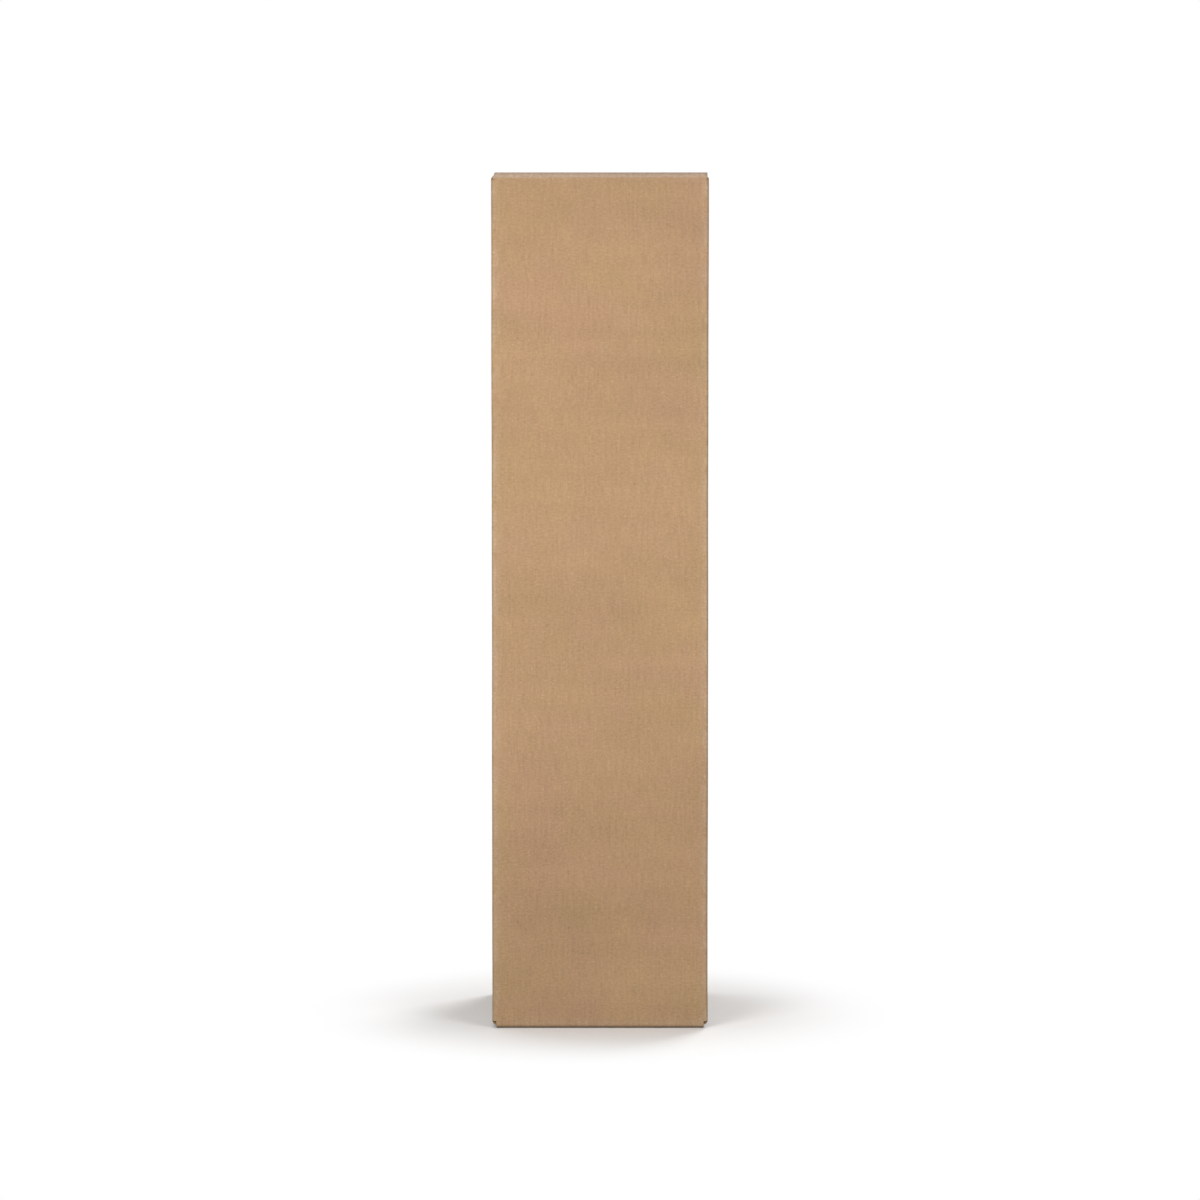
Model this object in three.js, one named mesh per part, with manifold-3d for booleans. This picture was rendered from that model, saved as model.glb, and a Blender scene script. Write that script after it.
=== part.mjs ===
// A tall lamp moving box: one blank of C flute corrugated board, folded into a square tube, glued along
// one back corner, its bottom flaps closed and taped, its top closed by two inner and two outer flaps.
// Millimetres, +Z up, the front at -Y, the origin on the floor under the middle of the box.
import * as THREE from 'three';
import { mergeVertices } from 'three/addons/utils/BufferGeometryUtils.js';
import Module from 'manifold-3d';

// Space inside the closed box: 12 by 12 by 48 inches.
const insideWidth = 304.8;
const insideDepth = 304.8;
const insideHeight = 1219.2;

// Board: two flat liners with a wavy medium glued between them.
const boardThickness = 4.0;
const linerThickness = 0.4;
const mediumThickness = 0.3;
const flutePitch = 7.8;
const glueShare = 0.08; // share of a pitch, at each side of a crest, that is closed by glue
const cutMargin = 1.0; // board at a slot-cut edge that is crushed shut

// Folds, all measured on the outside of the board.
const cornerRadius = 4.0; // upright creases
const innerCornerRadius = 1.0;
const foldRadius = 6.0; // creases of the flaps that stay folded
const creaseGap = 0.3; // between the two rounded board edges that roll on each other at a hinge crease
const crushedLength = 12.0; // length of an outer flap, from its crease, where the flutes are crushed shut

// Flaps
const slotWidth = 7.0; // cut between neighbouring flaps, centred on the upright crease
const outerSeam = 1.2; // between the free edges of the outer flaps
const innerSeam = 3.0; // between the free edges of the inner flaps
const layerGap = 0.3; // between an outer flap and the inner flap that it lies on

// Glued joint at the back left corner: a tab on the left panel lies inside the back panel.
const tabWidth = 35.0;
const tabTaper = 9.0; // the free edge of the tab is this much shorter at each end
const tabSetback = 6.0; // from the end of the upright crease to the tab's end
const jointGap = 1.5; // from the left face in to the back panel's raw edge

// Tape over the seam of the bottom flaps, turned up on both sides.
const tapeWidth = 48.0;
const tapeThickness = 0.1;
const tapeTail = 62.0; // height that the tape's ends reach up the side panels
const tapeGap = 0.1; // glue line

// Colours and surface
const kraftOutside = 0xbe9b75;
const kraftInside = 0xb8946c;
const tapeBrown = 0x9a6b3c;
const paperRoughness = 0.88;
const tapeRoughness = 0.25;

// Making of the shapes
const arcSteps = 6;
const lap = 4.0; // pieces of one sheet run this far into each other before they are joined
const sameVertex = 0.0001;

// Sizes that follow.
const width = insideWidth + 2 * boardThickness;
const depth = insideDepth + 2 * boardThickness;
const outerFloorZ = tapeThickness + tapeGap; // underside of the outer bottom flaps
const innerFloorZ = outerFloorZ + boardThickness + layerGap; // underside of the inner bottom flaps
const floorZ = innerFloorZ + boardThickness;
const ceilingZ = floorZ + insideHeight; // underside of the inner top flaps
const innerTopZ = ceilingZ + boardThickness;
const outerUnderZ = innerTopZ + layerGap;
const topZ = outerUnderZ + boardThickness;
const lowSlotZ = innerFloorZ + foldRadius; // slots end level with the side panels' creases
const highSlotZ = innerTopZ - foldRadius;

const halfCornerArc = (Math.PI / 4) * (cornerRadius - boardThickness / 2);
const flapInset = cornerRadius + slotWidth / 2 - halfCornerArc; // neighbouring face to flap edge
const frontFlapWidth = width - 2 * flapInset;
const sideFlapWidth = depth - 2 * flapInset;

const wasm = await Module();
wasm.setup();

// A closed three.js geometry as a manifold solid.
function solidOf(geometry) {
  const bare = geometry.index ? geometry.toNonIndexed() : geometry.clone();
  bare.deleteAttribute('normal');
  bare.deleteAttribute('uv');
  const merged = mergeVertices(bare, sameVertex);
  return new wasm.Manifold(new wasm.Mesh({
    numProp: 3,
    vertProperties: merged.attributes.position.array,
    triVerts: new Uint32Array(merged.index.array),
  }));
}

// A manifold solid as a three.js geometry with flat faces.
function geometryOf(solid) {
  const mesh = solid.getMesh();
  const geometry = new THREE.BufferGeometry();
  geometry.setAttribute('position', new THREE.BufferAttribute(mesh.vertProperties, 3));
  geometry.setIndex(new THREE.BufferAttribute(mesh.triVerts, 1));
  const flat = geometry.toNonIndexed();
  flat.computeVertexNormals();
  return flat;
}

function join(...solids) {
  return solids.reduce((whole, piece) => whole.add(piece));
}

function extrude(shape, length) {
  return new THREE.ExtrudeGeometry(shape, { depth: length, bevelEnabled: false, curveSegments: arcSteps });
}

// The four panels. A section is drawn as (distance in from the panel's outer face, height) and runs
// along the panel; a turn about Z then takes the front panel's place to the panel named.
const panels = {
  front: { turn: 0, reach: depth / 2, flapWidth: frontFlapWidth },
  right: { turn: Math.PI / 2, reach: width / 2, flapWidth: sideFlapWidth },
  back: { turn: Math.PI, reach: depth / 2, flapWidth: frontFlapWidth },
  left: { turn: -Math.PI / 2, reach: width / 2, flapWidth: sideFlapWidth },
};

const sectionToFront = new THREE.Matrix4().makeBasis(
  new THREE.Vector3(0, 1, 0),
  new THREE.Vector3(0, 0, 1),
  new THREE.Vector3(1, 0, 0),
);

// A section run along one panel over the width of its flap.
function alongPanel(shape, { turn, reach, flapWidth }) {
  const geometry = extrude(shape, flapWidth);
  geometry.applyMatrix4(sectionToFront);
  geometry.translate(-flapWidth / 2, -reach, 0);
  geometry.rotateZ(turn);
  return solidOf(geometry);
}

// Section of board that comes up a panel to legZ, turns in through a round fold and runs to reach.
// The fold's outer face ends level with faceZ; sign is 1 for a top flap and -1 for a bottom flap.
function foldSection(legZ, faceZ, reach, sign) {
  const centreZ = faceZ - sign * foldRadius;
  const backRadius = foldRadius - boardThickness;
  const clockwise = sign > 0;
  const shape = new THREE.Shape();
  shape.moveTo(0, legZ);
  if (legZ !== centreZ) shape.lineTo(0, centreZ);
  shape.absarc(foldRadius, centreZ, foldRadius, Math.PI, sign * Math.PI / 2, clockwise);
  shape.lineTo(reach, faceZ);
  shape.lineTo(reach, faceZ - sign * boardThickness);
  shape.lineTo(foldRadius, faceZ - sign * boardThickness);
  shape.absarc(foldRadius, centreZ, backRadius, sign * Math.PI / 2, Math.PI, !clockwise);
  if (legZ !== centreZ) shape.lineTo(boardThickness, legZ);
  return shape;
}

// Plan of the tube, with three rounded creases and the glued joint at the back left corner.
function tubePlan() {
  const x = width / 2;
  const y = depth / 2;
  const r = cornerRadius;
  const inX = x - boardThickness;
  const inY = y - boardThickness;
  const q = innerCornerRadius;
  const plan = new THREE.Shape();
  plan.moveTo(-x + r, -y);
  plan.lineTo(x - r, -y);
  plan.absarc(x - r, -y + r, r, -Math.PI / 2, 0, false);
  plan.lineTo(x, y - r);
  plan.absarc(x - r, y - r, r, 0, Math.PI / 2, false);
  plan.lineTo(-x + jointGap, y); // the back panel's raw edge
  plan.lineTo(-x + jointGap, inY);
  plan.lineTo(-x + r, inY);
  plan.absarc(-x + r, inY - r, r, Math.PI / 2, Math.PI, false); // the left panel turns in to its tab
  plan.lineTo(-x, -y + r);
  plan.absarc(-x + r, -y + r, r, Math.PI, Math.PI * 1.5, false);
  const inside = new THREE.Path();
  inside.moveTo(-inX + q, -inY);
  inside.absarc(inX - q, -inY + q, q, -Math.PI / 2, 0, false);
  inside.absarc(inX - q, inY - q, q, 0, Math.PI / 2, false);
  inside.absarc(-inX + q, inY - q, q, Math.PI / 2, Math.PI, false);
  inside.absarc(-inX + q, -inY + q, q, Math.PI, Math.PI * 1.5, false);
  plan.holes.push(inside);
  return plan;
}

function tube() {
  const geometry = extrude(tubePlan(), highSlotZ - lowSlotZ);
  geometry.translate(0, 0, lowSlotZ);
  return solidOf(geometry);
}

// The glue tab, a long trapezium flat against the inside of the back panel.
function glueTab() {
  const foldX = -width / 2 + boardThickness / 2; // starts inside the left panel's fold
  const edgeX = -width / 2 + boardThickness + tabWidth;
  const low = lowSlotZ + tabSetback;
  const high = highSlotZ - tabSetback;
  const outline = new THREE.Shape();
  outline.moveTo(foldX, low);
  outline.lineTo(edgeX, low + tabTaper);
  outline.lineTo(edgeX, high - tabTaper);
  outline.lineTo(foldX, high);
  const glued = boardThickness / 2; // run into the back panel, where glue makes them one
  const geometry = extrude(outline, boardThickness + glued);
  geometry.rotateX(Math.PI / 2);
  geometry.translate(0, depth / 2 - boardThickness + glued, 0);
  return solidOf(geometry);
}

// A hinge crease. The panel's edge and the flap's edge are both rounded noses as thick as the board.
// The axis lies where their middle planes cross, and each nose stands back from it by creaseReach.
const noseRadius = boardThickness / 2;
const creaseReach = (boardThickness + creaseGap) / Math.SQRT2;
const axisZ = topZ - noseRadius;
const panelNoseZ = axisZ - creaseReach;
const flapNoseIn = noseRadius + creaseReach; // in from the panel's outer face

// Upper edge of the front or back panel, between the slots.
function panelNoseSection() {
  const section = new THREE.Shape();
  section.moveTo(0, highSlotZ - lap);
  section.lineTo(0, panelNoseZ);
  section.absarc(noseRadius, panelNoseZ, noseRadius, Math.PI, 0, true);
  section.lineTo(boardThickness, highSlotZ - lap);
  return section;
}

function cartonBody() {
  const legZ = lowSlotZ + lap;
  const outerSection = foldSection(legZ, outerFloorZ, depth / 2 - outerSeam / 2, -1);
  const innerSection = foldSection(legZ, innerFloorZ, width / 2 - innerSeam / 2, -1);
  return join(
    tube(),
    glueTab(),
    alongPanel(panelNoseSection(), panels.front),
    alongPanel(panelNoseSection(), panels.back),
    alongPanel(outerSection, panels.front),
    alongPanel(outerSection, panels.back),
    alongPanel(innerSection, panels.left),
    alongPanel(innerSection, panels.right),
  );
}

// An inner top flap, with the fold that stands on the side panel's edge.
function innerTopFlap(panel) {
  return alongPanel(foldSection(highSlotZ, innerTopZ, width / 2 - innerSeam / 2, 1), panel);
}

// One open cell between the medium and a liner, seen from the flap's free edge.
// side is 1 for the cells under the upper liner and -1 for those over the lower liner.
function fluteCell(start, side) {
  const linerFace = boardThickness / 2 - linerThickness;
  const swing = linerFace - mediumThickness / 2;
  const from = start + flutePitch * glueShare;
  const span = flutePitch * (1 - 2 * glueShare);
  const cell = new THREE.Shape();
  cell.moveTo(from + span, side * linerFace);
  cell.lineTo(from, side * linerFace);
  for (let i = 0; i <= arcSteps; i += 1) {
    const x = from + (span * i) / arcSteps;
    const phase = (2 * Math.PI * (x - start)) / flutePitch;
    const slope = (2 * Math.PI * swing * Math.sin(phase)) / flutePitch;
    const halfMedium = (mediumThickness / 2) * Math.hypot(1, slope);
    cell.lineTo(x, side * (swing * Math.cos(phase) + halfMedium));
  }
  return cell;
}

// Every flute of one outer flap, run from beyond its free edge back to the crushed strip.
function flutes({ turn, reach, flapWidth }) {
  const count = Math.floor((flapWidth - 2 * cutMargin) / flutePitch - 1 / 2);
  const first = (-(count + 1 / 2) * flutePitch) / 2;
  const cells = [];
  for (let i = 0; i < count; i += 1) {
    cells.push(fluteCell(first + i * flutePitch, 1));
    cells.push(fluteCell(first + (i + 1 / 2) * flutePitch, -1));
  }
  const geometry = extrude(cells, reach - crushedLength);
  geometry.rotateX(Math.PI / 2);
  geometry.translate(0, 0, axisZ);
  geometry.rotateZ(turn);
  return solidOf(geometry);
}

// Section of an outer flap, closed, from the rounded nose at its crease to its free edge.
function outerFlapSection(freeEdge) {
  const section = new THREE.Shape();
  section.moveTo(flapNoseIn, topZ);
  section.lineTo(freeEdge, topZ);
  section.lineTo(freeEdge, outerUnderZ);
  section.lineTo(flapNoseIn, outerUnderZ);
  section.absarc(flapNoseIn, axisZ, noseRadius, -Math.PI / 2, -Math.PI * 1.5, true);
  return section;
}

// An outer top flap, its flutes open at the free edge and crushed shut beside the crease.
function outerTopFlap(panel) {
  const board = alongPanel(outerFlapSection(panel.reach - outerSeam / 2), panel);
  return board.subtract(flutes(panel));
}

// The tape, drawn as a section across the box's width. It runs up each side panel, round the fold of
// the inner flap, straight to the corner of the outer flaps and under them.
function bottomTape() {
  const corner = new THREE.Vector2(flapInset, 0); // edge of the outer flaps, in from the side face
  const centre = new THREE.Vector2(foldRadius, lowSlotZ - outerFloorZ);
  const toCentre = centre.clone().sub(corner);
  const lean = toCentre.angle() + Math.asin(foldRadius / toCentre.length());
  const leaves = lean + Math.PI / 2; // where on the fold the tape leaves it

  // Points of one side of the tape, offset outwards from the board, for one end of the box.
  const endPoints = (offset) => {
    const radius = foldRadius + offset;
    const points = [new THREE.Vector2(-offset, tapeTail)];
    for (let i = 0; i <= arcSteps; i += 1) {
      const angle = Math.PI + ((leaves - Math.PI) * i) / arcSteps;
      points.push(new THREE.Vector2(
        centre.x + radius * Math.cos(angle),
        centre.y + radius * Math.sin(angle),
      ));
    }
    const bend = Math.tan((Math.PI - lean) / 2);
    points.push(new THREE.Vector2(corner.x - offset * bend, -offset));
    return points;
  };
  const atLeft = (p) => new THREE.Vector2(-width / 2 + p.x, outerFloorZ + p.y);
  const atRight = (p) => new THREE.Vector2(width / 2 - p.x, outerFloorZ + p.y);
  const far = endPoints(tapeGap + tapeThickness);
  const near = endPoints(tapeGap);
  const outline = [
    ...far.map(atLeft),
    ...far.map(atRight).reverse(),
    ...near.map(atRight),
    ...near.map(atLeft).reverse(),
  ];
  const geometry = extrude(new THREE.Shape(outline), tapeWidth);
  geometry.rotateX(Math.PI / 2);
  geometry.translate(0, tapeWidth / 2, 0);
  return solidOf(geometry);
}

function kraft(colour) {
  return new THREE.MeshStandardMaterial({ color: colour, roughness: paperRoughness, metalness: 0 });
}

function packingTape() {
  return new THREE.MeshStandardMaterial({ color: tapeBrown, roughness: tapeRoughness, metalness: 0 });
}

function node(name, solid, material) {
  const mesh = new THREE.Mesh(geometryOf(solid), material);
  mesh.name = name;
  return mesh;
}

const lampBox = new THREE.Group();
lampBox.name = 'lamp_moving_box';
lampBox.add(
  node('carton_body', cartonBody(), kraft(kraftOutside)),
  node('inner_flap_left', innerTopFlap(panels.left), kraft(kraftInside)),
  node('inner_flap_right', innerTopFlap(panels.right), kraft(kraftInside)),
  node('outer_flap_front', outerTopFlap(panels.front), kraft(kraftOutside)),
  node('outer_flap_back', outerTopFlap(panels.back), kraft(kraftOutside)),
  node('bottom_tape', bottomTape(), packingTape()),
);

export default lampBox;
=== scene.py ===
import math

import bpy
import numpy as np
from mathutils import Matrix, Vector


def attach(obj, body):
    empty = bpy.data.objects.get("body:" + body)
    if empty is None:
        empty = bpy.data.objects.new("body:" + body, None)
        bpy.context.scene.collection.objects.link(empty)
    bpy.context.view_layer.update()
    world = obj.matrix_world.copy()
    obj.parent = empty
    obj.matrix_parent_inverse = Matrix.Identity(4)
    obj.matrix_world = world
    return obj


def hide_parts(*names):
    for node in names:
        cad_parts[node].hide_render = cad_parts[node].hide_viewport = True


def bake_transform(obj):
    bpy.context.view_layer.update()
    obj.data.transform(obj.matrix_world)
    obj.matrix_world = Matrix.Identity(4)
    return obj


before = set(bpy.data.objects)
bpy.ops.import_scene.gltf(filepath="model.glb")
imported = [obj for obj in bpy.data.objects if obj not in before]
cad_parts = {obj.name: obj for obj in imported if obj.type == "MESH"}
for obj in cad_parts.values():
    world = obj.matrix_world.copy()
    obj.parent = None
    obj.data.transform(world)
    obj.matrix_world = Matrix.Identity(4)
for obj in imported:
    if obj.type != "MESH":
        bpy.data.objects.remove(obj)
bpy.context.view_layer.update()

# A tall lamp moving box of brown corrugated board. Metres, the CAD frame: front at -Y, floor at z = 0.
# Sizes shared by the pieces, all in metres.
box = {
    "halfWidth": 0.1564,  # outer faces
    "thickness": 0.004,
    "cornerRadius": 0.0045,
    "foldRadius": 0.006,
    "lowSlot": 0.0105,  # the slots between flaps end here
    "highSlot": 1.2257,
    "frontRim": 1.23096,  # top of the front and back walls, where their flaps' creases begin
    "top": 1.236,
    "flapHalf": 0.15047,  # half the width of a flap
    "flutePitch": 0.0078,
}


class Wire:
    # One output of a shader node. Sums on it add Math nodes to the same tree.
    def __init__(self, shade, socket):
        self.shade, self.socket = shade, socket

    def math(self, operation, *others):
        inputs = dict(enumerate((self, *others)))
        return self.shade.make("ShaderNodeMath", {"operation": operation}, inputs)

    def __add__(self, other):
        return self.math("ADD", other)

    def __sub__(self, other):
        return self.math("SUBTRACT", other)

    def __mul__(self, other):
        return self.math("MULTIPLY", other)

    def __rsub__(self, other):
        return self.math("MULTIPLY_ADD", -1.0, other)

    __radd__, __rmul__ = __add__, __mul__

    def sine(self):
        return self.math("SINE")

    def ramp(self, low, high):  # 0 at low, 1 at high, smooth between
        settings = {"interpolation_type": "SMOOTHSTEP"}
        inputs = {"Value": self, "From Min": low, "From Max": high}
        return self.shade.make("ShaderNodeMapRange", settings, inputs)

    def times(self, sizes):  # a vector, each part times its own number
        return self.shade.make("ShaderNodeVectorMath", {"operation": "MULTIPLY"}, {0: self, 1: sizes})

    def scaled(self, amount):  # a vector or colour times one number
        return self.shade.make("ShaderNodeVectorMath", {"operation": "SCALE"}, {0: self, "Scale": amount})


class Shade:
    # The node tree of one material or world.
    def __init__(self, owner):
        owner.use_nodes = True
        self.tree = owner.node_tree
        self.tree.nodes.clear()

    def make(self, kind, settings=None, inputs=None, output=0):
        # one node: its settings first, then its sockets' values or links; gives one of its outputs
        node = self.tree.nodes.new(kind)
        for name, value in (settings or {}).items():
            setattr(node, name, value)
        for name, value in (inputs or {}).items():
            if isinstance(value, Wire):
                self.tree.links.new(value.socket, node.inputs[name])
            else:
                node.inputs[name].default_value = value
        return Wire(self, node.outputs[output]) if len(node.outputs) else None

    def noise(self, vector, scale, detail=3.0, rough=0.55):  # soft noise about zero
        inputs = {"Vector": vector, "Scale": scale, "Detail": detail, "Roughness": rough}
        return self.make("ShaderNodeTexNoise", None, inputs) - 0.5

    def mix(self, factor, first, second):
        settings = {"data_type": "RGBA"}
        return self.make("ShaderNodeMix", settings, {0: factor, 6: first, 7: second}, 2)

    def value(self, name):  # one number a point, stored with the mesh
        return self.make("ShaderNodeAttribute", {"attribute_name": name}, None, "Fac")

    def along(self, vector):  # the vector's first part
        return self.make("ShaderNodeSeparateXYZ", None, {0: vector})

    def paint(self, colour, roughness, height, shine=0.5):
        # the material's surface: what varies goes to colour, roughness and bump, shine is one number
        bump = self.make("ShaderNodeBump", None, {"Height": height, "Strength": 1.0, "Distance": 1.0})
        inputs = {
            "Base Color": colour,
            "Roughness": roughness,
            "Specular IOR Level": shine,
            "Normal": bump,
        }
        surfaceOut = self.make("ShaderNodeBsdfPrincipled", None, inputs)
        self.make("ShaderNodeOutputMaterial", None, {"Surface": surfaceOut})


# Brown liner paper. Amounts are shares of the paper's brightness, scales are cells a metre.
paper = {
    "pink": (0.412, 0.253, 0.146, 1),
    "yellow": (0.404, 0.259, 0.136, 1),
    # lighter paper over creases, folds and cut edges: real wear and a painted highlight
    "wornAndLitPaper": (0.500, 0.370, 0.255, 1),
    "foldHighlightPaint": (0.420, 0.318, 0.248, 1),  # painted highlight: lighter, greyer paper colour over the rounded top folds
    "cloud": 0.36,  # soft patches
    "cloudScale": 4.5,
    "hueScale": 9.0,  # patches of pinker and yellower paper
    "band": 0.22,  # level bands across the panel
    "bandScale": (3.0, 21.0, 1.0),
    "grain": 0.74,  # clumps of fibres, a few millimetres
    "grainScale": 260.0,
    "fineGrain": 1.25,  # single fibres
    "fineScale": 900.0,
    "streak": 0.34,  # upright streaks
    "streakScale": (330.0, 30.0, 1.0),
    "fleck": 0.16,  # pale and dark specks
    "paleScale": 260.0,
    "darkScale": 190.0,
    "flute": 0.006,  # share by which a flute's back is lighter
    "fluteDepth": 0.000016,  # bump heights, in metres
    "streakDepth": 0.00005,
    "grainDepth": 0.00008,
    "fineDepth": 0.00003,
    "scuffDepth": 0.00004,
    "scuffAndHighlight": 0.42,  # how far worn paper with its painted crease highlight shows
    "foldHighlightShare": 0.70,  # how far the painted fold highlight shows
    "roughness": 0.86,
    "shine": 0.28,
    "mediumTone": 0.80,  # the fluted paper inside is this much darker
}

# A knife-cut edge of board.
cut = {
    "dark": (0.230, 0.140, 0.078, 1),  # painted shade in the flutes' hollows
    "torn": 0.9,  # share of brightness
    "tornScale": 900.0,
    "tornDepth": 0.0003,
    "crush": 1.1,
    "crushScale": 420.0,
    "crushDepth": 0.0006,
    "roughness": 0.92,
    "shine": 0.2,
}


def fleck(shade, board, scale, chance, small):
    # small spots: full within the middle of a cell and nothing past its small part, times a random choice
    # of that share of the cells
    settings = {"feature": "F1"}
    inputs = {"Vector": board, "Scale": scale}
    distance = shade.make("ShaderNodeTexVoronoi", settings, inputs)
    pick = shade.along(shade.make("ShaderNodeTexVoronoi", settings, inputs, "Color"))
    return (1.0 - distance.ramp(small * 0.4, small)) * pick.ramp(1 - chance, 1 - chance + 0.05)


def kraftMaterial(name, tone=1.0):
    # brightness is one plus each noise times its amount; worn paper with a painted crease highlight, and the
    # painted highlight along the top folds, are mixed over the colour by the values stored with the mesh
    material = bpy.data.materials.new(name)
    shade = Shade(material)
    board = shade.make("ShaderNodeUVMap", {"uv_map": "board"})  # metres across and along the flutes
    place = shade.make("ShaderNodeTexCoord", None, None, "Object")
    across = shade.along(board)

    cloud = shade.noise(place, paper["cloudScale"])
    hue = shade.noise(place.times((1.0, 1.0, 1.3)), paper["hueScale"], 5.0)
    band = shade.noise(board.times(paper["bandScale"]), 1.0, 4.0)
    grain = shade.noise(board.times((0.8, 1.25, 1.0)), paper["grainScale"], 5.0, 0.72)
    fineGrain = shade.noise(board.times((1.5, 1.0, 1.0)), paper["fineScale"], 3.0, 0.7)
    streak = shade.noise(board.times(paper["streakScale"]), 1.0, 4.0, 0.6)
    waver = shade.noise(board.times((2.0, 6.0, 1.0)), 1.0, 2.0)
    flute = (across * (2 * math.pi / box["flutePitch"]) + waver * 1.5).sine() * (waver + 0.8)
    pale = fleck(shade, board.times((1.0, 0.7, 1.0)), paper["paleScale"], 0.20, 0.34)
    dark = fleck(shade, board.times((1.0, 0.6, 1.0)), paper["darkScale"], 0.12, 0.28)
    patchy = shade.noise(board.times((60.0, 30.0, 1.0)), 1.0, 4.0, 0.7)
    # worn paper and a painted highlight on creases and folds, in patches; it also rubs the bump and
    # roughness
    scuffAndHighlight = shade.value("wearAndHighlight") * patchy.ramp(-0.16, 0.10)

    bright = (
        1.0
        + cloud * paper["cloud"]
        + band * paper["band"]
        + grain * paper["grain"]
        + fineGrain * paper["fineGrain"]
        + streak * paper["streak"]
        + flute * paper["flute"]
        + pale * paper["fleck"]
        - dark * paper["fleck"]
    )
    colour = shade.mix(hue.ramp(-0.20, 0.20), paper["pink"], paper["yellow"])
    # painted highlight: lighter, greyer paper over the top folds, where light from above falls
    colour = shade.mix(shade.value("foldHighlightPaint") * paper["foldHighlightShare"], colour, paper["foldHighlightPaint"])
    # lighter paper over creases and folds: real wear and a painted highlight
    colour = shade.mix(scuffAndHighlight * paper["scuffAndHighlight"], colour, paper["wornAndLitPaper"])
    height = (
        flute * paper["fluteDepth"]
        + streak * paper["streakDepth"]
        + grain * paper["grainDepth"]
        + fineGrain * paper["fineDepth"]
        - scuffAndHighlight * paper["scuffDepth"]
    )
    roughness = paper["roughness"] + grain * 0.12 - scuffAndHighlight * 0.06
    shade.paint(colour.scaled(bright * tone), roughness, height, paper["shine"])
    return material


def cutEdgeMaterial(name):
    # torn liner and crushed flutes: two noises drawn out along the edge, with painted shade in the hollows
    material = bpy.data.materials.new(name)
    shade = Shade(material)
    place = shade.make("ShaderNodeTexCoord", None, None, "Object")
    torn = shade.noise(place.times((1.0, 1.0, 0.35)), cut["tornScale"], 4.0, 0.7)
    crush = shade.noise(place.times((1.0, 1.0, 0.08)), cut["crushScale"], 3.0, 0.6)
    bright = 1.0 + torn * cut["torn"] + crush * cut["crush"]
    # painted shade: the dark colour where the crushed flutes leave hollows
    colour = shade.mix(crush.ramp(-0.1, 0.16), cut["dark"], paper["yellow"]).scaled(bright)
    height = torn * cut["tornDepth"] + crush * cut["crushDepth"]
    shade.paint(colour, cut["roughness"] + torn * 0.1, height, cut["shine"])
    return material


kraft = kraftMaterial("kraft liner")
cutEdge = cutEdgeMaterial("cut board edge")
mediumPaper = kraftMaterial("fluted medium", paper["mediumTone"])
print("materials of the board made")


def surface(name, points, uv, keep=None, values=None, materials=()):
    # rows by columns of points; each cell between four neighbours is a quad, where keep is true
    rows, columns = points.shape[:2]
    first = (np.arange(rows - 1)[:, None] * columns + np.arange(columns - 1)).ravel()
    quads = np.stack([first, first + 1, first + columns + 1, first + columns], axis=1)
    if keep is not None:
        quads = quads[keep.ravel()]
    used, quads = np.unique(quads, return_inverse=True)
    quads = quads.reshape(-1, 4)
    mesh = bpy.data.meshes.new(name)
    mesh.vertices.add(len(used))
    mesh.vertices.foreach_set("co", points.reshape(-1, 3)[used].astype(np.float32).ravel())
    mesh.loops.add(quads.size)
    mesh.loops.foreach_set("vertex_index", quads.ravel().astype(np.int32))
    mesh.polygons.add(len(quads))
    mesh.polygons.foreach_set("loop_start", np.arange(0, quads.size, 4, dtype=np.int32))
    mesh.update(calc_edges=True)
    layer = mesh.uv_layers.new(name="board")
    corners = uv.reshape(-1, 2)[used][quads.ravel()]
    layer.data.foreach_set("uv", corners.astype(np.float32).ravel())
    for key, amounts in (values or {}).items():
        attribute = mesh.attributes.new(key, "FLOAT", "POINT")
        amounts = np.broadcast_to(amounts, (rows, columns)).reshape(-1)[used]
        attribute.data.foreach_set("value", amounts.astype(np.float32))
    mesh.shade_smooth()
    for material in materials:
        mesh.materials.append(material)
    made = bpy.data.objects.new(name, mesh)
    bpy.context.scene.collection.objects.link(made)
    return made


def thicken(made, thickness, softening=0.0):
    # a sheet's own thickness, half to each side, with its cut edges a little rounded
    solid = made.modifiers.new("board thickness", "SOLIDIFY")
    solid.thickness, solid.offset, solid.use_even_offset = thickness, 0.0, True
    solid.use_rim = True
    solid.material_offset_rim = 1 if len(made.data.materials) > 1 else 0
    if softening:
        bevel = made.modifiers.new("soft cut edge", "BEVEL")
        bevel.width, bevel.segments, bevel.limit_method = softening, 2, "ANGLE"
        bevel.angle_limit, bevel.harden_normals = math.radians(50), True
    return made


def steps(low, high, count):  # that many equal steps
    return np.linspace(low, high, count + 1)


def smooth(x):  # 0 up to 0 and 1 from 1, with an even curve between: three squares less two cubes
    x = np.clip(x, 0, 1)
    return x * x * (3 - 2 * x)


def near(distance, width):  # 1 at no distance, falling away like a bell
    return np.exp(-((distance / width) ** 2))


def onBoard(across, along):  # the place on the flat board of every point of a grid, for the material
    return np.stack(np.broadcast_arrays(across, along), axis=2)


# The top slots narrow towards their ends, where each side of a flap stands further out.
slot = {
    "left": 0.0046,  # how much further at the slot's end
    "leftReach": 0.0100,  # gone this far past it
    "right": 0.0036,
    "rightFrom": 0.0100,  # this side follows the fold first, then goes back
    "rightReach": 0.012,
}


def flare(x, distance):
    # the way across is stretched: on the left evenly less all round the fold, on the right by the whole
    # amount round the fold and smoothly less on the flap
    left = slot["left"] * (1 - np.clip(distance / slot["leftReach"], 0, 1))
    right = slot["right"] * (1 - smooth((distance - slot["rightFrom"]) / slot["rightReach"]))
    return x * (1 + np.where(x > 0, right, left) / box["flapHalf"])


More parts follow.
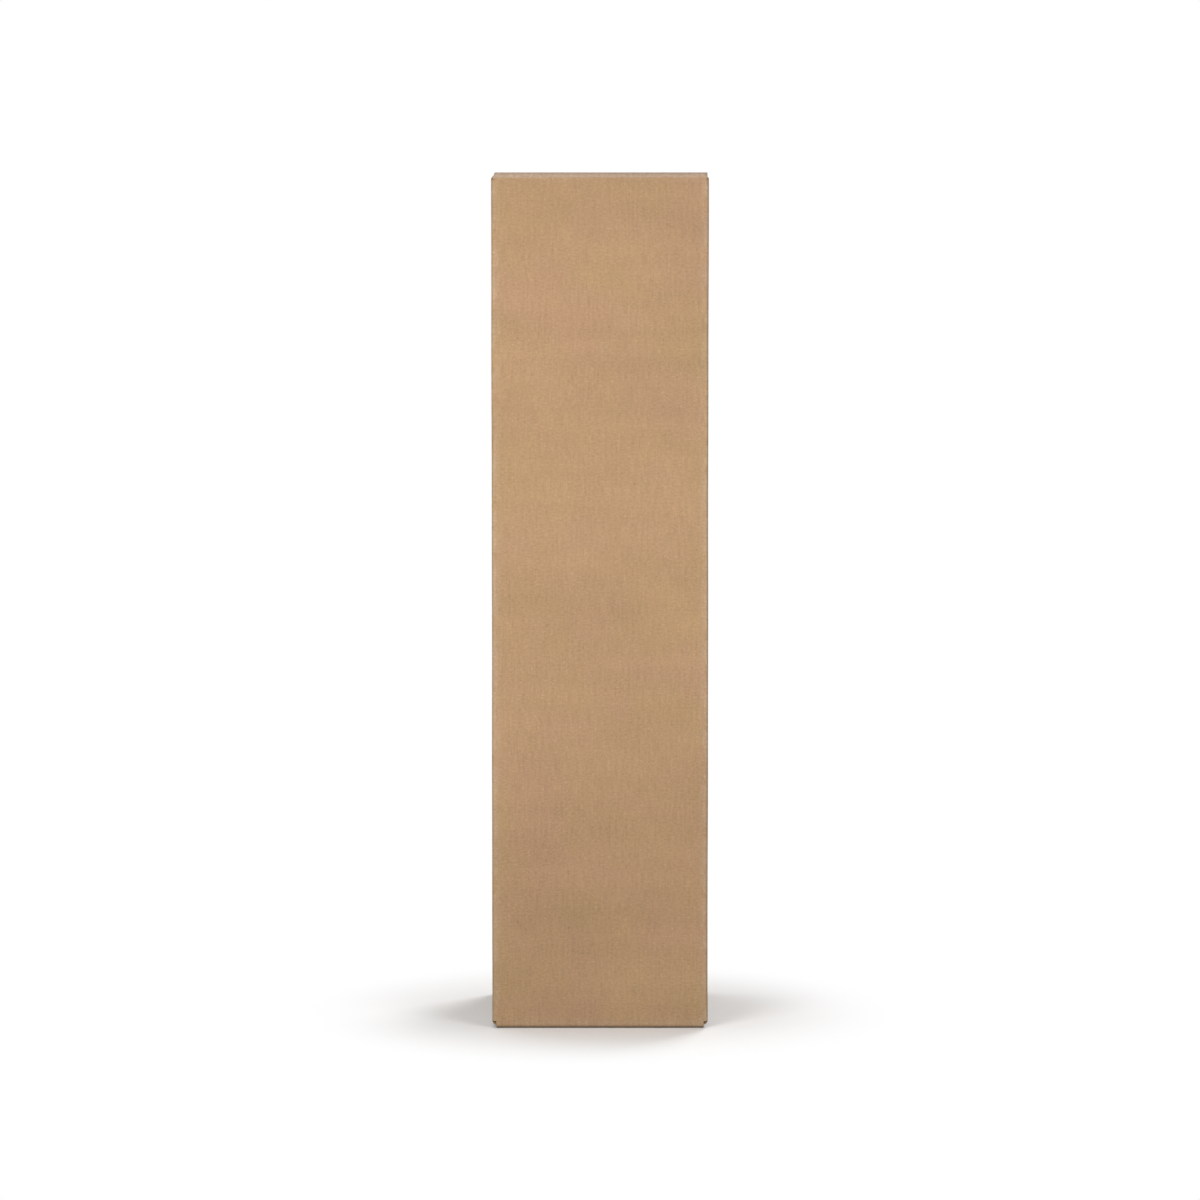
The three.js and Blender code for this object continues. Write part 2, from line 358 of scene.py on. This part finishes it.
# The folded blank: four walls, the glue tab, the bottom flaps and the inner top flaps, one sheet.
blank = {
    "wallRows": 104,
    "evenRows": 0.65,  # share of even spacing; the rest gathers rows at the walls' ends
    "foldRows": 7,
    "flapRows": 12,
    "panelColumns": 42,
    "cornerColumns": 6,
    "sideFlap": 0.1489,  # straight length of the inner flaps, top and bottom
    "frontFlap": 0.1498,  # of the outer bottom flaps
    "lowStep": 0.0043,  # the outer bottom flaps fold this much lower than the inner ones
    "sag": 0.0009,  # the inner top flaps' free edges hang this much
    "bow": 0.0011,  # largest dent of a wall
    "edgeSlip": 0.0005,  # largest slip of an upright crease from straight
    "calm": 0.07,  # no dents nearer to the walls' ends
    "tabWidth": 0.0334,
    "tabStep": 0.006,  # the tab's ends step back from the slots
    "tabTaper": 0.009,
    "jointGap": 0.0015,
    "thin": 0.0001,  # thinner than the CAD board, so that layers lying on each other stay apart
    "softening": 0.00025,  # round of the cut edges
}


def blankPath():
    # middle line of the board round the tube, as points, inward normals, run length, panel and distance
    # from the panel's middle: back, right, front and left panels, then the glue tab, each a straight run
    # joined to the next by a quarter turn. Columns stand exactly at the flaps' side edges
    t = box["thickness"]
    r = box["cornerRadius"] - t / 2
    mid = box["halfWidth"] - t / 2
    edge = box["flapHalf"]
    start = -box["halfWidth"] + blank["jointGap"]
    straights = [
        ((start, mid), (1, 0), mid - r - start),
        ((mid, mid - r), (0, -1), 2 * (mid - r)),
        ((mid - r, -mid), (-1, 0), 2 * (mid - r)),
        ((-mid, r - mid), (0, 1), 2 * (mid - r) - t),
        ((-mid + r, mid - t), (1, 0), blank["tabWidth"]),
    ]
    tab = len(straights) - 1
    points, normals, runs, panels, offsets = [], [], [], [], []
    run = 0.0
    for index, (origin, heading, length) in enumerate(straights):
        heading = np.array(heading, float)
        inward = np.array([heading[1], -heading[0]])
        origin = np.array(origin)
        middle = origin + heading * length / 2
        local = steps(-length / 2, length / 2, blank["panelColumns"])
        if index < tab:
            panelMiddle = -np.dot(middle, heading)
            local = np.concatenate([
                steps(-length / 2, panelMiddle - edge, 2)[:-1],
                steps(panelMiddle - edge, panelMiddle + edge, blank["panelColumns"]),
                steps(panelMiddle + edge, length / 2, 2)[1:],
            ])
            local = local[np.abs(local) <= length / 2 + 1e-9]
        points.append(middle + local[:, None] * heading)
        normals.append(np.broadcast_to(inward, points[-1].shape))
        runs.append(run + local + length / 2)
        panels.append(np.full(len(local), index))
        offsets.append(np.dot(points[-1], heading))
        run += length
        if index == tab:
            break
        turn = steps(0, math.pi / 2, blank["cornerColumns"])[1:-1]
        centreOfTurn = origin + heading * length + inward * r
        outward = -inward[None, :] * np.cos(turn)[:, None] + heading[None, :] * np.sin(turn)[:, None]
        points.append(centreOfTurn + outward * r)
        normals.append(-outward)
        runs.append(run + turn * r)
        panels.append(np.full(len(turn), -1))
        offsets.append(np.zeros(len(turn)))
        run += r * math.pi / 2
    return tuple(np.concatenate(part) for part in (points, normals, runs, panels, offsets))


def foldProfile(distance, straight, radius):
    # way of the board past the slots: straight on, a quarter turn inwards, then level
    quarter = radius * math.pi / 2
    angle = np.clip(distance - straight, 0, quarter) / radius
    level = np.clip(distance - straight - quarter, 0, None)
    inset = radius * (1 - np.cos(angle)) + level
    climb = np.clip(distance, 0, straight) + radius * np.sin(angle)
    return inset, climb


def foldDistances(straight, radius, flapLength):
    # distances of the rows past the slots: equal steps to the fold's end, then equal steps along the flap
    crease = straight + radius * math.pi / 2
    return np.concatenate([
        steps(0, crease, blank["foldRows"])[1:],
        steps(crease, crease + flapLength, blank["flapRows"])[1:],
    ])


def blankEnd(isSide, radius, straightFront, frontLength):
    # one end of the tube, rows going out from the slots: side panels fold at once, front and back panels
    # after their straight part, or just end there where they have no flap
    side = foldDistances(0.0, radius, blank["sideFlap"])
    if frontLength:
        front = foldDistances(straightFront, radius, frontLength)
    else:
        front = steps(0, straightFront, blank["foldRows"])[1:]
        front = np.concatenate([front, np.full(blank["flapRows"], straightFront)])
    distance = np.where(isSide[None, :], side[:, None], front[:, None])
    straight = np.where(isSide, 0.0, straightFront)[None, :]
    inset, climb = foldProfile(distance, straight, radius)
    return distance, inset, climb


def blankKeep(offsets, panels, rowsLow, rowsWall, rowsAll):
    # cells kept: the walls, and past the slots only what lies inside a flap; at the top the front and
    # back panels end with their walls
    isSide = np.isin(panels, (1, 3))
    inFlap = (np.abs(offsets) <= box["flapHalf"] + 1e-6) & np.isin(panels, (0, 1, 2, 3))
    cellInFlap = inFlap[:-1] & inFlap[1:]
    keep = np.ones((rowsAll - 1, len(panels) - 1), bool)
    keep[:rowsLow, :] = cellInFlap[None, :]
    firstTop = rowsLow + rowsWall - 1
    keep[firstTop : firstTop + blank["foldRows"], :] = cellInFlap[None, :]
    keep[firstTop + blank["foldRows"] :, :] = (cellInFlap & isSide[:-1] & isSide[1:])[None, :]
    return keep


def blankWearAndHighlight(x, offsets, panels, along):
    # wear with painted highlight: bells about the upright creases and the folds. Painted fold highlight,
    # lighter and
    # greyer paper: a strip above the slots, deeper on the left of the front
    low, high = box["lowSlot"], box["highSlot"]
    isSide, isFront = np.isin(panels, (1, 3)), np.isin(panels, (0, 2))
    corner = np.abs(np.abs(offsets) - box["halfWidth"] + box["cornerRadius"])
    corner = np.where(panels < 0, 0.0, corner)
    corner = np.where(panels == 4, 1.0, corner)
    edge = near(corner, 0.0035)[None, :]
    lowFold = near(along - (low - 0.0045), 0.005)
    highFold = near(along - (high + 0.0030), 0.004)
    scoreLine = near(along - (high + 0.0036), 0.0009) * isFront[None, :]
    wearAndHighlight = np.clip(edge * 0.9 + lowFold * 0.8 + highFold * 0.5 + scoreLine, 0, 1)
    reach = 0.0022 - 0.0080 * x
    # painted highlight of the rounded top fold, half as strong on the side panels
    paintedFoldHighlight = 1 - smooth((high + 0.0040 - along) / reach)
    paintedFoldHighlight = paintedFoldHighlight * (1 - smooth((along - high - 0.0055) / 0.005)) * np.where(isSide, 0.5, 1.0)[None, :]
    return {"wearAndHighlight": wearAndHighlight, "foldHighlightPaint": paintedFoldHighlight}


def makeBlank():
    # rows from the bottom flaps' free edges up the walls to the top flaps' free edges, columns round the
    # tube: each point is the path's own, moved inwards by fold and dent, at its row's height
    points, normals, runs, panels, offsets = blankPath()
    radius = box["foldRadius"] - box["thickness"] / 2
    low, high = box["lowSlot"], box["highSlot"]
    middle, half = (low + high) / 2, (high - low) / 2
    gathered = middle - half * np.cos(steps(0, math.pi, blank["wallRows"]))
    even = blank["evenRows"]
    wall = (1 - even) * gathered + even * steps(low, high, blank["wallRows"])
    isSide, isFront, onTab = np.isin(panels, (1, 3)), np.isin(panels, (0, 2)), panels == 4

    lowDistance, lowInset, lowClimb = blankEnd(isSide, radius, blank["lowStep"], blank["frontFlap"])
    highDistance, highInset, highClimb = blankEnd(isSide, radius, box["frontRim"] - high, 0.0)
    highInset = np.where(isSide[None, :], highInset, 0.0)
    highClimb = np.where(isSide[None, :], highClimb, highDistance)

    # the tab's two ends step back from the slots and taper to its free edge
    tabRun = np.where(onTab, runs - runs[onTab].min(), 0.0)
    shorter = blank["tabStep"] * smooth(tabRun / 0.003) + blank["tabTaper"] * tabRun / blank["tabWidth"]
    wallHeight = middle + (wall - middle)[:, None] * (1 - np.where(onTab, shorter, 0.0) / half)[None, :]

    # dents: slow waves round the tube and up the wall, none at the creases and ends, always inwards. The
    # waves close after one way round, so the tab follows the back wall that it is glued to
    u, z = runs[None, :] * (2 * math.pi / runs[onTab].min()), wallHeight
    window = smooth((z - low) / blank["calm"]) * smooth((high - z) / blank["calm"])
    arch = np.where(panels >= 0, 1 - (offsets / (box["halfWidth"] - box["cornerRadius"])) ** 2, 0.0)
    wave = 0.5 + 0.30 * np.sin(7.1 * z + 2 * u + 0.8) + 0.20 * np.sin(15.3 * z - 4 * u + 2.1)
    wallInset = window * blank["bow"] * np.clip(arch, 0, 1)[None, :] * wave
    # slip: the whole section is a little smaller here and there, so the upright creases waver
    slip = 0.5 + 0.32 * np.sin(8.3 * z + u + 4.0) + 0.18 * np.sin(23.0 * z + 3 * u)
    wallShrink = window * blank["edgeSlip"] / box["halfWidth"] * slip

    inset = np.concatenate([lowInset[::-1], wallInset, highInset])
    shrink = np.concatenate([np.zeros_like(lowInset), wallShrink, np.zeros_like(highInset)])
    height = np.concatenate([(low - lowClimb)[::-1], wallHeight, high + highClimb])
    along = np.concatenate([(low - lowDistance)[::-1], wallHeight, high + highDistance])
    hang = np.concatenate([np.zeros_like(lowInset), np.zeros_like(wallInset), smooth(highInset / 0.15)])
    height = height - hang * blank["sag"] * isSide[None, :]

    plan = (points[None, :, :] + normals[None, :, :] * inset[:, :, None]) * (1 - shrink[:, :, None])
    aboveSlot = (height > high + 0.0001) & isFront[None, :]
    turned = np.where(points[:, 1] > 0, -1.0, 1.0)[None, :]  # left and right change places at the back
    wide = flare(plan[:, :, 0] * turned, height - high) * turned
    plan[:, :, 0] = np.where(aboveSlot, wide, plan[:, :, 0])
    grid = np.concatenate([plan, height[:, :, None]], axis=2)

    keep = blankKeep(offsets, panels, len(lowInset), len(wall), len(height))
    values = blankWearAndHighlight(plan[:, :, 0], offsets, panels, along)
    made = surface("foldedBlank", grid, onBoard(runs[None, :], along), keep, values, (kraft, cutEdge))
    return thicken(made, box["thickness"] - blank["thin"], blank["softening"])


foldedBlank = makeBlank()
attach(foldedBlank, "carton")
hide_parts("carton_body", "inner_flap_left", "inner_flap_right")
print("folded blank made")

# The outer top flaps: two liners and the fluted medium between them, open at the edges.
flap = {
    "from": 0.00504,  # start past the crease, in from the wall's outer face
    "to": 0.1558,
    "liner": 0.0004,
    "medium": 0.0003,
    "columns": 110,
    "rows": 34,
    "fluteSteps": 10,  # columns to one flute of the medium
    "pressed": 0.0028,  # width of the crushed strip beside the cut side edges
    "crush": 0.00105,  # each liner's drop there
    "sag": 0.00022,
    "creaseRun": 0.0100,  # way along the board from the slot's end to the flap's start
}


def flapGrid(side, across, inward, height):
    # the point's own way across, flared near the slot, and its way in from the wall's outer face; side is
    # -1 for the front flap and 1 for the back flap
    run = flap["creaseRun"] + inward[:, None] - flap["from"]
    x = flare(np.broadcast_to(across[None, :], height.shape), run) * -side
    y = np.broadcast_to((side * (box["halfWidth"] - inward))[:, None], height.shape)
    return np.stack([x, y, height], axis=2)


def pinch(across, inward):
    # how far the board is crushed, 0 to 1, beside its two cut side edges
    toEdge = box["flapHalf"] - np.abs(across)
    sides = 1 - smooth(toEdge / flap["pressed"])
    ragged = 0.85 + 0.15 * np.sin(inward * 310.0 + 1.0)[:, None] * np.sin(inward * 97.0)[:, None]
    return sides[None, :] * ragged


def flapMiddle(across, inward):
    # height of the board's middle: level, less a sag as a squared half wave from crease to free edge
    rise = (inward - flap["from"]) / (flap["to"] - flap["from"])
    sag = flap["sag"] * (np.sin(rise * math.pi) ** 2)[:, None] * (0.6 + 0.4 * np.cos(across * 19.0))[None, :]
    return box["top"] - box["thickness"] / 2 - sag


def makeLiners(name, side):
    # two sheets above and below the board's middle, closer together where it is pinched
    half = box["flapHalf"]
    inward = steps(flap["from"], flap["to"], flap["rows"])
    edges = steps(0.0, flap["pressed"], 4)
    across = np.concatenate([
        -half + edges,
        steps(-half + 0.0036, half - 0.0036, flap["columns"]),
        half - edges[::-1],
    ])
    squeeze = pinch(across, inward)
    uv = onBoard(across[None, :] + 0.7, inward[:, None] + 1.24)
    # wear with painted highlight at the fold and cut edges, and the painted fold highlight near the crease
    foldNear = near(inward - flap["from"], 0.004)[:, None] * np.ones_like(squeeze)
    edgeNear = near(half - np.abs(across), 0.0025)[None, :] + near(flap["to"] - inward, 0.002)[:, None]
    values = {"wearAndHighlight": np.clip(foldNear * 0.8 + edgeNear * 0.6, 0, 1), "foldHighlightPaint": foldNear * 0.7}
    parts = []
    for word, sign in (("Upper", 1), ("Under", -1)):
        apart = sign * (box["thickness"] / 2 - flap["liner"] / 2 - flap["crush"] * squeeze)
        grid = flapGrid(side, across, inward, flapMiddle(across, inward) + apart)
        made = surface(name + word + "Liner", grid, uv, None, values, (kraft, cutEdge))
        parts.append(thicken(made, flap["liner"]))
    return parts


def makeMedium(name, side):
    # a cosine wave across the board, its crests touching the liners
    swing = box["thickness"] / 2 - flap["liner"] - flap["medium"] / 2
    flutes = int(2 * box["flapHalf"] / box["flutePitch"])
    wide = flutes * box["flutePitch"] / 2
    across = steps(-wide, wide, flutes * flap["fluteSteps"])
    inward = np.append(steps(flap["from"] + 0.001, flap["to"] - 0.006, 8), flap["to"] - 0.00015)
    wave = np.cos(across * 2 * math.pi / box["flutePitch"])[None, :]
    height = flapMiddle(across, inward) + (swing - flap["crush"] * pinch(across, inward)) * wave
    grid = flapGrid(side, across, inward, height)
    uv = onBoard(across[None, :], inward[:, None])
    made = surface(name + "Medium", grid, uv, None, {"wearAndHighlight": 0.0, "foldHighlightPaint": 0.0}, (mediumPaper, cutEdge))
    return thicken(made, flap["medium"])


def makeFlap(name, side, body, node):
    parts = [*makeLiners(name, side), makeMedium(name, side)]
    for made in parts:
        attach(made, body)
    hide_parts(node)
    return parts


frontFlap = makeFlap("frontFlap", -1, "front_flap", "outer_flap_front")
backFlap = makeFlap("backFlap", 1, "back_flap", "outer_flap_back")
print("outer flaps made")

# The two hinge creases, which bend between wall and flap.
crease = {
    "lead": 0.0012,  # it starts this far down inside the wall, and ends this far along the flap
    "thin": 0.00008,  # thinner than the board it joins
    "rows": 12,
    "columns": 96,
    "crumple": 0.00022,
}


def makeCrease(name, side):
    # middle of the board round the fold: a quarter turn between a short upright lead and a short level
    # one, pressed in along the fold by slow waves
    rim = box["frontRim"]
    radius = box["top"] - box["thickness"] / 2 - rim
    quarter = radius * math.pi / 2
    distance = steps(-crease["lead"], quarter + crease["lead"], crease["rows"])
    inset, climb = foldProfile(np.clip(distance, 0, None), 0.0, radius)
    climb = np.where(distance < 0, distance, climb)
    across = steps(-box["flapHalf"], box["flapHalf"], crease["columns"])
    onFold = np.sin(np.clip(distance / quarter, 0, 1) * math.pi)[:, None]
    crumple = 0.5 + 0.3 * np.sin(across * 61.0 + side) + 0.2 * np.sin(across * 143.0 + 2.0)
    press = crease["crumple"] * onFold * crumple[None, :]
    turn = np.clip(distance / radius, 0, math.pi / 2)[:, None]
    into = inset[:, None] + press * np.cos(turn)
    height = rim + climb[:, None] - press * np.sin(turn)
    mid = box["halfWidth"] - box["thickness"] / 2
    run = rim - box["highSlot"] + distance[:, None]
    x = flare(np.broadcast_to(across[None, :], height.shape), run) * -side
    grid = np.stack([x, side * (mid - into), height], axis=2)
    uv = onBoard(across[None, :] + 0.7, distance[:, None] + rim)
    # the whole rounded fold gets the painted fold highlight; wear with painted highlight along its two
    # scored edges
    scored = near(distance + 0.0002, 0.0012)[:, None] + near(distance - quarter, 0.0012)[:, None]
    values = {"wearAndHighlight": np.clip(0.12 + scored, 0, 1), "foldHighlightPaint": 1.0}
    made = surface(name, grid, uv, None, values, (kraft, cutEdge))
    thicken(made, box["thickness"] - crease["thin"])
    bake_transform(made)
    return made


frontCrease = makeCrease("frontCrease", -1)
backCrease = makeCrease("backCrease", 1)
print("hinge creases made")

# The tape under the box.
tape = {
    "halfWidth": 0.024,
    "tail": 0.0622,  # top of its ends on the side walls
    "thickness": 0.00006,
    "underside": 0.00006,  # height of the tape's middle above the floor
    "standOff": 0.00014,  # of the tape's middle from the wall
    "levelSteps": 60,
    "wallSteps": 26,
    "acrossSteps": 60,
    "colour": (0.300, 0.150, 0.058, 1),
    "pale": (0.330, 0.190, 0.095, 1),
    "roughness": 0.24,
    "tooth": 0.0016,  # pitch of the torn ends' teeth
    "toothDepth": 0.0007,
    "wrinkle": 0.00003,
}


def tapeMaterial():
    # brown film: stretched streaks across, and paler where small bubbles hold it off the board
    material = bpy.data.materials.new("brown packing tape")
    shade = Shade(material)
    strip = shade.make("ShaderNodeUVMap", {"uv_map": "board"})
    stretch = shade.noise(strip.times((14.0, 160.0, 1.0)), 1.0)
    bubble = shade.noise(strip.times((90.0, 90.0, 1.0)), 1.0, 4.0, 0.65)
    loose = bubble.ramp(0.10, 0.17)
    flute = (shade.along(strip) * (2 * math.pi / box["flutePitch"])).sine()
    bright = 1.0 + stretch * 0.3 + bubble * 0.2
    colour = shade.mix(loose * 0.7, tape["colour"], tape["pale"]).scaled(bright)
    height = stretch * 0.00012 + bubble * 0.00008 + flute * 0.00002
    shade.paint(colour, tape["roughness"] + loose * 0.2 + stretch * 0.1, height)
    return material


def tapePath():
    # half the strip's way, from the middle of the bottom outwards: level to the outer flaps' side edge,
    # slanting to the inner flap's fold, round the fold, then up the wall
    edge = box["flapHalf"]
    under = tape["underside"]
    centre = np.array([box["halfWidth"] - box["foldRadius"], box["lowSlot"]])
    reach = box["foldRadius"] + tape["standOff"]
    toCorner = np.array([edge, under]) - centre
    span = np.hypot(*toCorner)
    leave = math.atan2(toCorner[1], toCorner[0]) + math.acos(min(reach / span, 1.0))
    angles = steps(leave, 0.0, 10)
    arc = centre + reach * np.stack([np.cos(angles), np.sin(angles)], axis=1)
    out = steps(0.0, edge, tape["levelSteps"])
    level = np.stack([out, np.full_like(out, under)], axis=1)
    rise = steps(box["lowSlot"], tape["tail"], tape["wallSteps"])[1:]
    up = np.stack([np.full_like(rise, centre[0] + reach), rise], axis=1)
    return np.concatenate([level, arc, up])


def makeTape():
    # the path and its mirror image, swept across; on the walls the rows lean to a zigzag at the torn ends
    halfPath = tapePath()
    path = np.concatenate([halfPath[::-1] * (-1, 1), halfPath[1:]])
    run = np.concatenate([[0], np.cumsum(np.hypot(*np.diff(path, axis=0).T))])
    run = run - run[-1] / 2
    across = steps(-tape["halfWidth"], tape["halfWidth"], tape["acrossSteps"])
    tooth = np.abs(((across / tape["tooth"]) % 1.0) - 0.5) * 2 * tape["toothDepth"]
    x = np.repeat(path[:, :1], len(across), axis=1)
    z = np.repeat(path[:, 1:], len(across), axis=1)
    onWall = (path[:, 1] > box["lowSlot"] + 0.002)[:, None]
    top = tape["tail"] - 0.00005
    share = np.clip((z - box["lowSlot"]) / (top - box["lowSlot"]), 0, 1)
    z = np.where(onWall, z - share * (tooth[None, :] + 0.0002), z)
    ripple = 1 + np.sin(run[:, None] * 210.0 + across[None, :] * 90.0)
    x = x - np.sign(x) * tape["wrinkle"] * ripple * (path[:, 1] > 0.012)[:, None]
    grid = np.stack([x, np.broadcast_to(across[None, :], x.shape), z], axis=2)
    uv = onBoard(across[None, :], run[:, None])
    made = surface("bottomTape", grid, uv, None, None, (tapeMaterial(),))
    return thicken(made, tape["thickness"])


bottomTape = makeTape()
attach(bottomTape, "carton")
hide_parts("bottom_tape")
print("tape made")

# Floor, light and camera. Each light: name, place, what it points at, size, watts, colour.
studio = {
    "floorSeen": (0.86, 0.86, 0.86, 1),
    "floorBounce": (0.18, 0.18, 0.18, 1),
    "floorRadius": 24.0,
    "floorUnder": 0.00002,  # below the box, in metres
    "whiteFrom": 0.20,  # the floor turns to plain white from here
    "whiteTo": 0.46,
    "ambient": 0.25,
    "lights": [
        ("key", (-0.85, -1.60, 0.90), (0.0, 0.0, 0.90), 1.1, 24.0, (1.0, 0.985, 0.96)),
        ("fill", (1.1, -1.50, 0.86), (0.0, 0.0, 0.88), 1.0, 15.2, (0.97, 0.985, 1.0)),
        ("behind", (1.4, 2.6, 2.2), (0.0, 0.0, 0.7), 1.8, 78.0, (1.0, 1.0, 1.0)),
        ("above", (-0.6, 0.4, 3.6), (0.0, 0.0, 1.2), 1.6, 30.0, (1.0, 1.0, 1.0)),
    ],
    "cameraPlace": (0.0, -5.0, 0.86),
    "cameraAim": (0.0, 0.0, 0.6145),
    "lens": 100.9,
}
white = (1, 1, 1, 1)


def makeFloor():
    # rings of points round the box; plain matt near it, and turning to white further out where the
    # camera sees it
    rings = np.array([0.0001, 0.3, 0.6, 1.2, 3.0, 8.0, studio["floorRadius"]])
    angles = steps(0, 2 * math.pi, 72)
    x = rings[:, None] * np.cos(angles)[None, :]
    y = rings[:, None] * np.sin(angles)[None, :]
    grid = np.stack([x, y, np.full_like(x, -studio["floorUnder"])], axis=2)
    material = bpy.data.materials.new("pale floor")
    shade = Shade(material)
    place = shade.make("ShaderNodeTexCoord", None, None, "Object")
    away = shade.make("ShaderNodeVectorMath", {"operation": "LENGTH"}, {0: place}, "Value")
    seen = shade.make("ShaderNodeLightPath", None, None, "Is Camera Ray")
    tone = shade.mix(seen, studio["floorBounce"], studio["floorSeen"])
    matt = shade.make("ShaderNodeBsdfPrincipled", None, {"Base Color": tone, "Roughness": 0.9})
    plain = shade.make("ShaderNodeEmission", None, {"Color": white, "Strength": 1.0})
    factor = seen * away.ramp(studio["whiteFrom"], studio["whiteTo"])
    both = shade.make("ShaderNodeMixShader", None, {0: factor, 1: matt, 2: plain})
    shade.make("ShaderNodeOutputMaterial", None, {"Surface": both})
    made = surface("floor", grid, grid[:, :, :2], None, None, (material,))


def makeWorld():
    # soft light from all sides, seen by the camera as white
    world = bpy.data.worlds.new("studio")
    bpy.context.scene.world = world
    shade = Shade(world)
    seen = shade.make("ShaderNodeLightPath", None, None, "Is Camera Ray")
    dim = shade.make("ShaderNodeBackground", None, {"Color": white, "Strength": studio["ambient"]})
    plain = shade.make("ShaderNodeBackground", None, {"Color": white, "Strength": 1.0})
    both = shade.make("ShaderNodeMixShader", None, {0: seen, 1: dim, 2: plain})
    shade.make("ShaderNodeOutputWorld", None, {"Surface": both})


def aim(thing, target):  # its -Z axis points at the target, its Y axis up
    thing.rotation_euler = (Vector(target) - thing.location).to_track_quat("-Z", "Y").to_euler()


def makeLights():
    for name, place, target, size, power, colour in studio["lights"]:
        light = bpy.data.lights.new(name, "AREA")
        light.shape, light.size, light.energy, light.color = "DISK", size, power, colour
        thing = bpy.data.objects.new(name, light)
        bpy.context.scene.collection.objects.link(thing)
        thing.location = place
        thing.visible_camera = False
        aim(thing, target)


def makeCamera():
    lens = bpy.data.cameras.new("camera")
    lens.lens, lens.sensor_width = studio["lens"], 36.0
    lens.clip_start, lens.clip_end = 0.05, 100.0
    thing = bpy.data.objects.new("camera", lens)
    bpy.context.scene.collection.objects.link(thing)
    thing.location = studio["cameraPlace"]
    aim(thing, studio["cameraAim"])
    bpy.context.scene.camera = thing


makeFloor()
makeWorld()
makeLights()
makeCamera()
bpy.context.scene.view_settings.view_transform = "Standard"
print("floor, lights and camera made")
